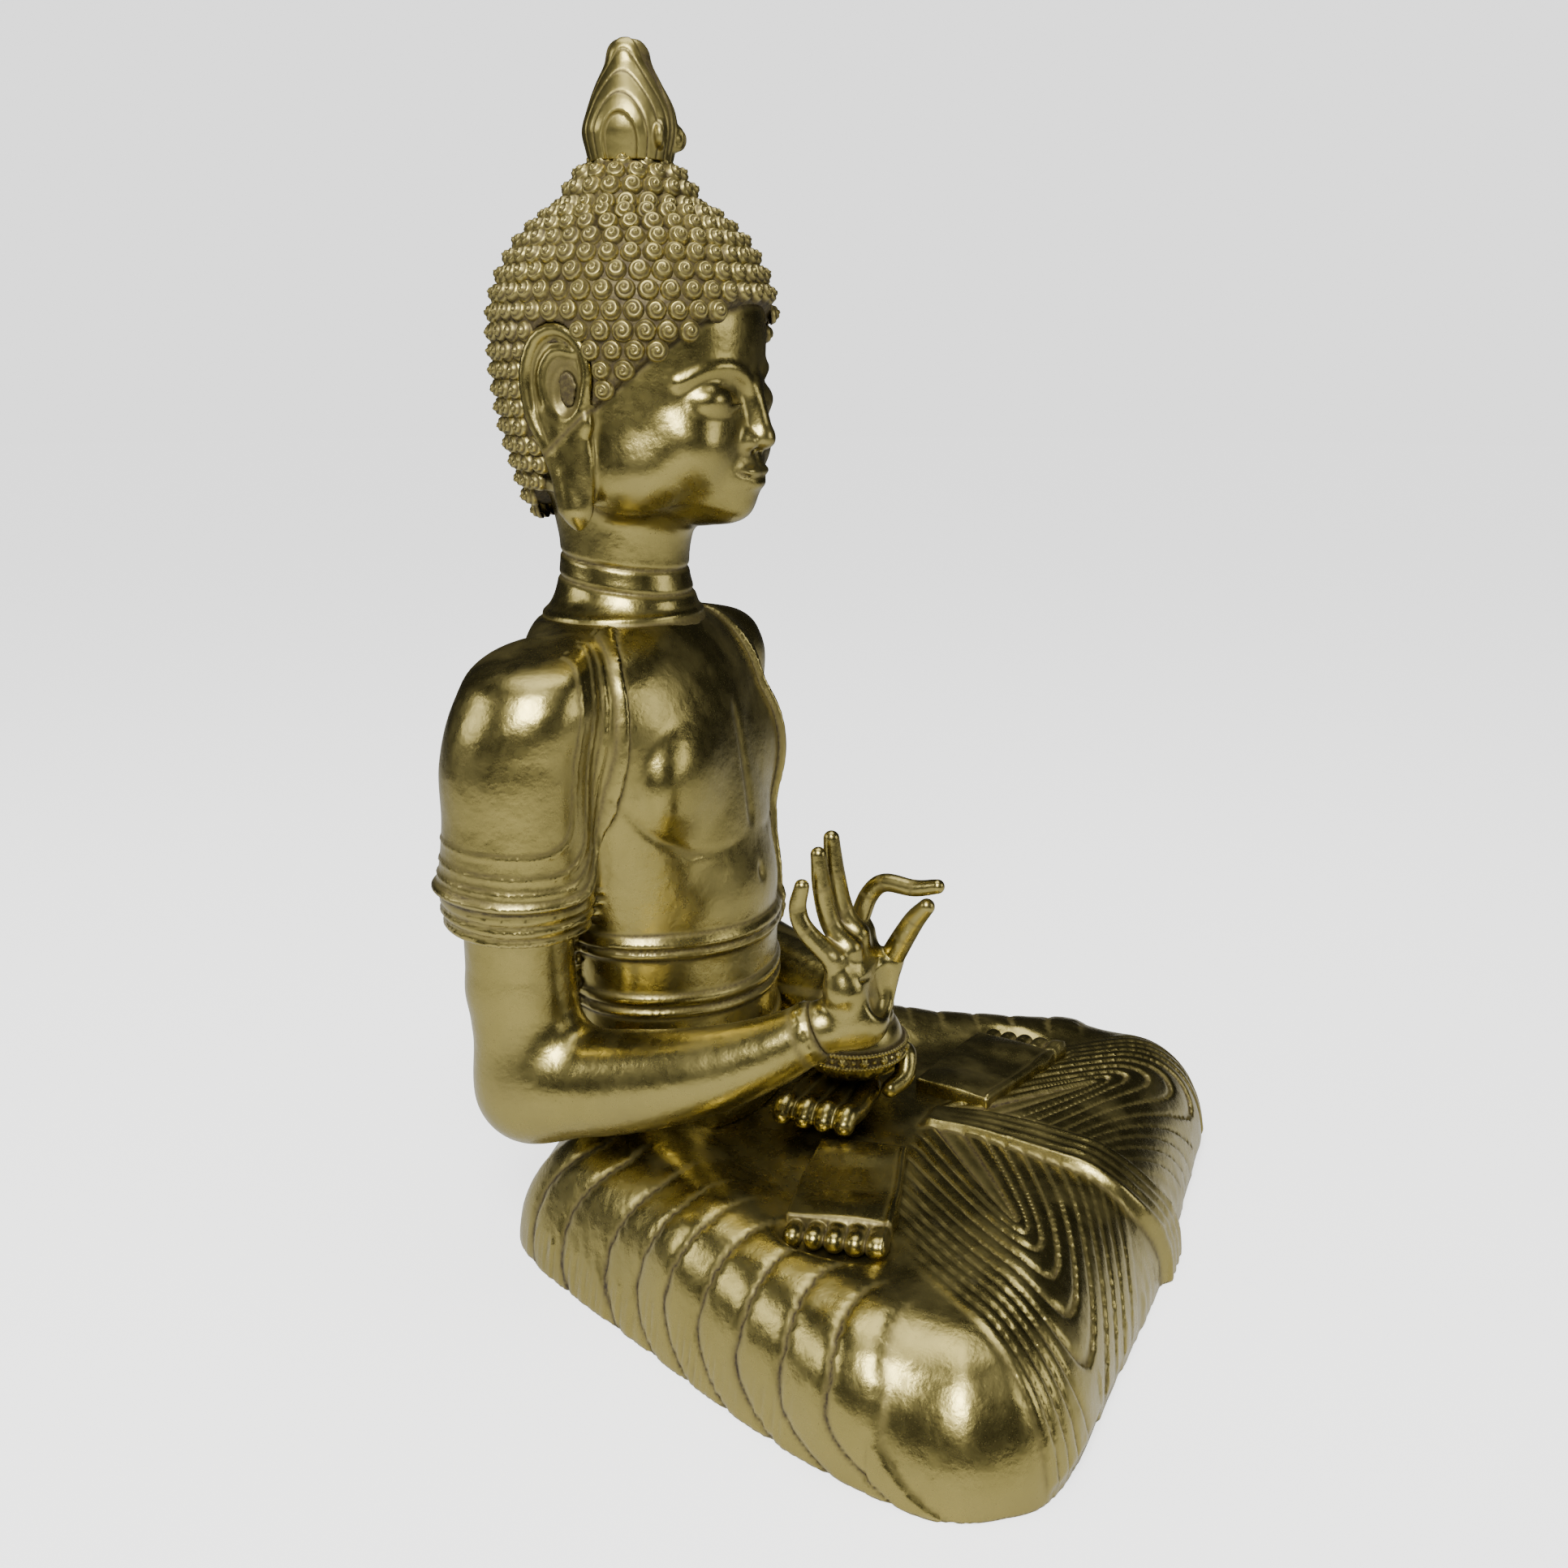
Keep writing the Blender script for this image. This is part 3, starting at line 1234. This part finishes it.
def right_arm_wash(p):
    t = past_right_wrist(p)
    ring = 0.8 * np.maximum(ridge(t, 1.6), 0.7 * ridge(t + 9.5, 1.4))
    return np.maximum(ring, 0.7 * step(180, 186, p[2]))


def left_arm_relief(p):
    """Cuff and long twisting folds of the sleeve."""
    x, y, z = p
    t, off = along(p, LEFT_ELBOW, LEFT_WRIST)
    share = step(-2, -8, t)
    turn = np.arctan2(z - LEFT_WRIST[2], (x - LEFT_WRIST[0]) * 0.67 + (y - LEFT_WRIST[1]) * -0.4)
    out = 2.4 * ridge(t + 3.5, 3.0) + 1.4 * ridge(t + 14 + 4 * np.sin(turn), 4.0)
    twist = np.sin(turn * 5 + t * 0.05)
    out = out + 1.3 * twist * share * step(-90, -40, t)
    dark = 0.6 * ridge(t + 8.5, 1.6)
    dark = np.maximum(dark, 0.45 * step(-0.8, -1, twist) * share)
    mouth = step(17.5, 15.5, off) * step(-30, -2, t)
    return out, np.maximum(dark, 0.55 * mouth)


def left_arm_field(p):
    x, y, z = p
    f = bone(p, LEFT_ELBOW, LEFT_WRIST, 31, 23.5)
    upper = column((x - 103, y, z), [(104, 118, 31, 31), (166, 124, 31, 33), (206, 124, 31.5, 34.5)])
    f = smin(f, upper, 10.0)
    f = f - left_arm_relief(p)[0] * step(200, 150, z)
    t, off = along(p, LEFT_ELBOW, LEFT_WRIST)
    f = smax(f, t - 1.0, 2.0)
    lumps = np.sin(x * 0.7) * np.sin(y * 0.8 + 1) * np.sin(z * 0.9)
    bore = np.maximum(off - 17.0 - 0.8 * lumps, -19 - t)
    f = smax(f, -bore, 2.0)
    f = smax(f, z - 205.5, 0.8)
    return smax(f, -(column(p, TORSO) - 1.0), 1.0)


def build_arms():
    lo, hi = (-132, -46, 66), (-68, 156, 196)
    sculpt("right_forearm", right_arm_field, lo, hi, 1.6, GOLD, "right_arm", patina=right_arm_wash)
    lo, hi = (24, -30, 58), (142, 164, 208)
    wash = wash_of(left_arm_relief)
    sculpt("left_sleeve", left_arm_field, lo, hi, 1.6, GOLD, "left_arm", patina=wash)


# ---- right hand ------------------------------------------------------------

INDEX = [
    (-57, -39, 194, 4.9),
    (-57, -44, 207, 4.6),
    (-58, -52, 214, 4.4),
    (-60, -67, 214, 4.0),
    (-62, -79, 217, 3.4),
]
THUMB = [(-56, -55, 176, 6.0), (-58, -62, 189, 5.5), (-60, -68, 199, 4.9), (-62, -74, 206.5, 3.9)]
LITTLE = [(-86, -38, 183, 5.4), (-90, -25, 197, 4.6), (-90, -21, 207, 4.2), (-90, -23, 218, 3.5)]
RING = [(-78, -42, 186, 5.8), (-79, -33, 198, 4.9), (-80, -29, 215, 4.6), (-80, -27, 231, 3.7)]
MIDDLE = [(-68, -42, 190, 5.8), (-68, -35, 201, 5.1), (-69, -31, 219, 4.8), (-69, -29, 236, 3.8)]


PALM_CREASES = [
    [(-84, -50, 174), (-74, -53, 173), (-66, -53, 178)],
    [(-66, -54, 160), (-70, -54, 172)],
]


def right_hand_field(p):
    """Palm, the three straight fingers and the roots of index finger and thumb."""
    f = bone(p, RIGHT_WRIST, (-76, -46, 151), 13.0, 13.0)
    for x, y, z, r in [(-84, -42, 168, 9.5), (-75, -43, 170, 10.0), (-66, -45, 171, 10.0)]:
        f = smin(f, bone(p, (-75, -45, 152), (x, y, z), 12.0, r), 7.0)
    bases = [(-84, -42, 168, 9.0), (-76, -42, 170, 9.0), (-68, -43, 171, 9.0)]
    for base, line in zip(bases, (LITTLE, RING, MIDDLE)):
        f = smin(f, bone(p, base, line[0], 8.4, line[0][3]), 4.0)
    for line in (LITTLE, RING, MIDDLE):
        f = smin(f, rod(p, line, 8), 2.4)
    f = smin(f, bone(p, (-62, -45, 172), (-58, -41, 188), 9.0, 5.8), 4.0)
    f = smin(f, bone(p, (-58, -41, 188), INDEX[0], 5.8, 5.0), 2.0)
    f = smin(f, bone(p, (-64, -49, 158), (-57, -54, 174), 10.5, 6.8), 5.0)
    f = smin(f, bone(p, (-57, -54, 174), THUMB[0], 6.8, 6.1), 2.0)
    f = smax(f, -egg(p, (-73, -57, 166), (10, 4.5, 12)), 6.0)
    for crease in PALM_CREASES:
        f = f + 0.8 * ridge(edge_distance(p, crease), 1.0)
    return smax(f, 0.1 - past_right_wrist(p), 0.6)


def digits_wash(lines):
    """Brown in the joints of fingers and round the wrist."""

    def wash(p):
        dark = np.zeros_like(p[0])
        for nodes in lines:
            for a, b in zip(nodes[:-1], nodes[1:-1]):
                t, off = along(p, a[:3], b[:3])
                dark = np.maximum(dark, 0.4 * ridge(t, 0.9) * step(9, 7, off))
        return np.maximum(dark, 0.8 * ridge(past_right_wrist(p), 1.8))

    return wash


def between_wash(p):
    """Brown left where two fingers lie close together."""
    lines = (LITTLE, RING, MIDDLE)
    d = [chain(p, line) for line in lines]
    gap = np.minimum.reduce([np.abs(a - b) + np.minimum(a, b) for a, b in zip(d, d[1:])])
    return np.maximum(digits_wash(lines)(p), 0.8 * step(2.2, 0.4, gap) * step(176, 186, p[2]))


def build_right_hand():
    lo, hi = (-102, -68, 128), (-44, -6, 244)
    sculpt("right_palm", right_hand_field, lo, hi, 0.8, GOLD, "right_hand", patina=between_wash)
    for name, node, line in (
        ("index_finger", "right_index_finger", INDEX),
        ("thumb", "right_thumb", THUMB),
    ):
        ends = np.array([n[:3] for n in line])
        lo, hi = ends.min(0) - 8, ends.max(0) + 8
        root = line[0][:3]
        way = np.array(line[1][:3], float) - np.array(root)
        way /= np.linalg.norm(way)

        def field(p, line=line, root=root, way=way):
            t = sum((p[i] - root[i]) * way[i] for i in range(3))
            return smax(rod(p, line, 8), 0.2 - t, 0.4)

        sculpt(name, field, lo, hi, 0.5, GOLD, node, patina=digits_wash((line,)))


# ---- left hand and bowl ----------------------------------------------------

BOWL = (4.0, -13.0, 102.0)
BOWL_R = 27.0
BOWL_HIGH = 36.0
BOWL_MOUTH = 19.0
BOWL_WALL = 3.0
BAND_Z = BOWL[2] - 1.0
BAND_HIGH = 8.0
BEADS = 16


def left_hand_field(p):
    f = bone(p, (65, 14, 93), LEFT_WRIST, 12.0, 12.5)
    f = smin(f, bone(p, LEFT_WRIST, (26, -10, 80), 12.5, 11.0), 8.0)
    f = smin(f, bone(p, (26, -10, 80), (0, -10, 76), 11.0, 9.0), 6.0)
    for y in (9, -3, -14, -25):
        knuckle = (4, y * 0.8 - 2, 75, 7.2)
        line = [knuckle, (-22, y, 75, 6.4), (-33, y, 76.5, 6.1), (-38, y, 73.5, 5.6)]
        f = smin(f, bone(p, (26, -10, 80), knuckle, 9.0, 7.2), 4.0)
        f = smin(f, rod(p, line, 8), 2.2)
    thumb = [(24, -24, 84, 8.4), (19, -37, 92, 6.4), (11, -40, 83, 5.6), (1, -36, 79, 4.8)]
    f = smin(f, rod(p, thumb, 8), 4.0)
    return smax(f, -(bowl_shape(p) - 0.2), 0.8)


def bowl_shape(p):
    """The bowl filled in."""
    r = np.hypot(p[0] - BOWL[0], p[1] - BOWL[1])
    z = p[2] - BOWL[2]
    half = BOWL_HIGH / 2
    wide = smooth_table(z, [-half, -12, -1, 9, half], [13.0, 22.5, BOWL_R, 25.0, BOWL_MOUTH])
    return smax((r - wide) * 0.85, np.abs(z) - half, 0.8)


def bowl_relief(p):
    """Lip, foot ring and fluting, and brown in the mouth and beside the belt."""
    turn = np.arctan2(p[1] - BOWL[1], p[0] - BOWL[0])
    r = np.hypot(p[0] - BOWL[0], p[1] - BOWL[1])
    z = p[2] - BOWL[2]
    lip = 1.1 * ridge(z - 16.6, 1.6)
    foot = 0.8 * ridge(z + 16.4, 1.6)
    dark = 0.7 * ridge(z - 13.6, 0.9) + 0.75 * step(BOWL_MOUTH - 1, BOWL_MOUTH - 3, r) * step(14, 12, z)
    near = np.maximum(ridge(z + 1 - BAND_HIGH / 2 - 1, 1.2), ridge(z + 1 + BAND_HIGH / 2 + 1, 1.2))
    flutes = 0.35 * np.cos(turn * 24) * step(-4, -8, z)
    return lip + foot + flutes, np.minimum(dark + 0.8 * near, 0.9)


def bowl_field(p):
    z = p[2] - BOWL[2]
    r = np.hypot(p[0] - BOWL[0], p[1] - BOWL[1])
    f = bowl_shape(p) - bowl_relief(p)[0]
    half = BOWL_HIGH / 2
    radii = [13.0, 22.5, BOWL_R, 25.0, BOWL_MOUTH, 18.0]
    levels = [BOWL_WALL - half, -9, -1, 9, half, 22]
    wide = smooth_table(z, levels, [r_out - BOWL_WALL for r_out in radii])
    return smax(f, -np.maximum(r - wide, BOWL_WALL - half - z), 0.8)


def band_field(p):
    """Belt with a rope on each edge and large and small beads by turns between them."""
    x, y, z = p[0] - BOWL[0], p[1] - BOWL[1], p[2] - BAND_Z
    r = np.hypot(x, y)
    turn = np.arctan2(y, x)
    f = brick((r - BOWL_R + 0.1, z, 0 * z), (1.6, BAND_HIGH / 2, 5.0), 0.6)
    for side in (-1, 1):
        rope = np.hypot(r - BOWL_R - 1.5, z - side * (BAND_HIGH / 2 - 0.7)) - 1.0
        rope = rope - 0.28 * np.sin(turn * 90 + side * z)
        f = smin(f, rope, 0.4)
    pitch = 2 * pi / BEADS
    for shift, size in ((0.0, 2.3), (0.5, 1.2)):
        a = (turn / pitch + shift) % 1.0 - 0.5
        q = (r - BOWL_R - 1.5, a * pitch * BOWL_R, z)
        d = np.sqrt(sum(v**2 for v in q))
        petals = size * (1 + 0.12 * np.cos(np.arctan2(q[2], q[1]) * 6))
        f = smin(f, d - petals, 0.4)
    return smax(f, BOWL_R - 0.9 - r, 0.3)


def band_wash(p):
    r = np.hypot(p[0] - BOWL[0], p[1] - BOWL[1])
    return 0.9 * step(BOWL_R + 2.3, BOWL_R + 1.4, r)


def hand_wash(p):
    return 0.8 * step(2.0, 0.4, bowl_shape(p))


def build_left_hand_and_bowl():
    lo, hi = (-46, -50, 62), (80, 32, 112)
    sculpt("left_hand_rest", left_hand_field, lo, hi, 0.8, GOLD, "left_hand", patina=hand_wash)
    bowl = {"slot": "bowl_gold", "patina": wash_of(bowl_relief)}
    sculpt("bowl", bowl_field, (-26, -43, 82), (34, 17, 122), 0.8, BOWL_GOLD, "alms_bowl", **bowl)
    belt = {"slot": "bowl_gold", "patina": band_wash}
    sculpt("bowl_belt", band_field, (-30, -47, 94), (38, 21, 108), 0.45, BOWL_GOLD, "bowl_band", **belt)


# ---- feet ------------------------------------------------------------------

FOOT = (78.0, 50.0, 17.0)
SOLE_Z = 67.0
FOOT_PLACE = {-1: (-76, -44, 192), 1: (76, -66, -12)}
TOE_DIA = 10.6
FIRST_TOE = TOE_DIA / 2 - FOOT[1] / 2
TOE_GAP = (FOOT[1] - TOE_DIA) / 4


def foot_local(p, side):
    """Sole coordinates: length to the toes, width to the rear, height."""
    x, y, turn = FOOT_PLACE[side]
    c, s = cos(radians(turn)), sin(radians(turn))
    dx, dy = p[0] - x, p[1] - y
    return dx * c + dy * s, (-dx * s + dy * c) * (-side), p[2] - SOLE_Z


def foot_field(side):
    """Plate of the sole with five toes, the ball and the heel."""

    def field(p):
        u, v, w = foot_local(p, side)
        v = -v
        taper = 1 - 0.10 * step(10, -39, u)
        f = brick((u, v / taper, w + FOOT[2] / 2), [side / 2 for side in FOOT], 1.6)
        for i in range(5):
            t = FIRST_TOE + i * TOE_GAP
            r = 6.2 - 0.25 * i
            reach = FOOT[0] / 2 + 17.5 - 1.0 * i - r
            toe = bone((u, v, w), (30, t, -5.6), (reach, t, -5.4 - 0.2 * i), r - 0.9, r - 0.8)
            pad = egg((u, v, w), (reach - 1, t, -4.6 - 0.3 * i), (r * 1.15, r * 0.88, r * 0.86))
            f = smin(f, smin(toe, pad, 1.5), 0.5)
        ball = egg((u, v, w), (26, -4, -4.5), (13, 22, 6.0))
        heel = egg((u, v, w), (-27, 0, -5.2), (13, 19, 6.4))
        f = smin(smin(f, ball, 5.0), heel, 5.0)
        f = f + 0.9 * ridge(u - 38.5, 1.3) * step(-3, 0, w + 8)
        edge = ridge(v + FOOT[1] / 2 * taper - 2.0, 1.5) * step(-38, -34, u)
        return f - 1.0 * edge * step(-9, -3, w)

    return field


def foot_wash(side):
    """Brown between the toes, in their crease and low on the sides."""

    def wash(p):
        u, v, w = foot_local(p, side)
        v = -v
        cleft = np.abs(((v - FIRST_TOE) / TOE_GAP) % 1.0 - 0.5) * TOE_GAP
        dark = 0.9 * ridge(cleft, 1.1) * step(35, 39, u) * step(20.5, 18.5, np.abs(v))
        dark = np.maximum(dark, 0.7 * ridge(u - 38.0, 1.2))
        return np.maximum(dark, 0.85 * step(-7, -13, w))

    return wash


def build_feet():
    for side, node in ((-1, "left_foot"), (1, "right_foot")):
        x, y, _ = FOOT_PLACE[side]
        lo, hi = (x - 66, y - 46, 46), (x + 66, y + 46, 76)
        name = "sole_near" if side < 0 else "sole_far"
        sculpt(name, foot_field(side), lo, hi, 0.85, GOLD, node, patina=foot_wash(side))


# ---- stage -----------------------------------------------------------------

BACKDROP = 1.9          # brightness of the floor's glow and of the background

def by_ray(tree, felt, seen, out):
    """The camera meets the shader seen, and every other ray meets felt."""
    mix = add(tree, "MixShader")
    tree.links.new(add(tree, "LightPath").outputs["Is Camera Ray"], mix.inputs["Fac"])
    tree.links.new(felt, mix.inputs[1])
    tree.links.new(seen, mix.inputs[2])
    tree.links.new(mix.outputs["Shader"], out.inputs["Surface"])


def stage_finish():
    """Pale paper that also glows, for the camera alone."""
    mat, tree, bsdf = shader("paper")
    bsdf.inputs["Base Color"].default_value = (0.66, 0.66, 0.65, 1)
    bsdf.inputs["Roughness"].default_value = 0.7
    lit = add(tree, "Emission")
    lit.inputs["Strength"].default_value = BACKDROP
    both = add(tree, "AddShader")
    tree.links.new(bsdf.outputs["BSDF"], both.inputs[0])
    tree.links.new(lit.outputs["Emission"], both.inputs[1])
    out = [n for n in tree.nodes if n.bl_idname == "ShaderNodeOutputMaterial"][0]
    by_ray(tree, bsdf.outputs["BSDF"], both.outputs["Shader"], out)
    return mat


def build_stage():
    """Wide pale floor that runs out of sight on every side, just under the felt."""
    around, radius, level = 96, 9.0, -0.0002
    turns = [2 * pi * i / around for i in range(around)]
    mesh = bpy.data.meshes.new("floor")
    mesh.from_pydata([(radius * cos(a), radius * sin(a), level) for a in turns], [], [range(around)])
    mesh.materials.append(stage_finish())
    obj = bpy.data.objects.new("floor", mesh)
    bpy.context.scene.collection.objects.link(obj)


def lamp(name, place, side, power):
    """Square area light that faces the middle of the figure."""
    light = bpy.data.lights.new(name, "AREA")
    light.shape = "SQUARE"
    light.size = side
    light.energy = power
    obj = bpy.data.objects.new(name, light)
    obj.location = place
    aim = Vector((0, 0, 0.3)) - Vector(place)
    obj.rotation_euler = aim.to_track_quat("-Z", "Y").to_euler()
    bpy.context.scene.collection.objects.link(obj)


def build_lights():
    world = bpy.data.worlds.new("studio")
    bpy.context.scene.world = world
    world.use_nodes = True
    tree = world.node_tree
    tree.nodes.clear()
    felt, seen = add(tree, "Background"), add(tree, "Background")
    felt.inputs["Color"].default_value = (0.50, 0.51, 0.52, 1)
    felt.inputs["Strength"].default_value = 0.05
    seen.inputs["Color"].default_value = (1, 1, 1, 1)
    seen.inputs["Strength"].default_value = BACKDROP
    by_ray(tree, felt.outputs["Background"], seen.outputs["Background"], add(tree, "OutputWorld"))
    lamp("key", (-1.35, -0.35, 1.5), 0.75, 62)
    lamp("top", (0.1, 0.1, 1.9), 1.2, 21)
    lamp("fill", (0.3, -1.7, 0.8), 0.8, 6)
    lamp("rim", (-0.9, 1.4, 0.9), 0.7, 7)


def build_camera():
    """Standing point of the reference view: 0.8 m off, a little above the head's middle."""
    camera = bpy.data.cameras.new("camera")
    camera.sensor_width = 36.0
    camera.lens = 36.33
    obj = bpy.data.objects.new("camera", camera)
    right = Vector((0.39950, -0.91673, 0.00166))
    up = Vector((0.23712, 0.10509, 0.96578))
    back = -Vector((0.88553, 0.38544, -0.25936))
    turn = Matrix((right, up, back)).transposed()
    obj.matrix_world = Matrix.Translation((-0.7243, -0.2901, 0.4515)) @ turn.to_4x4()
    bpy.context.scene.collection.objects.link(obj)
    bpy.context.scene.camera = obj


dress_inner_nodes()
build_lap()
build_torso()
build_head()
build_hair()
build_finial()
build_arms()
build_right_hand()
build_left_hand_and_bowl()
build_feet()
build_stage()
build_lights()
build_camera()
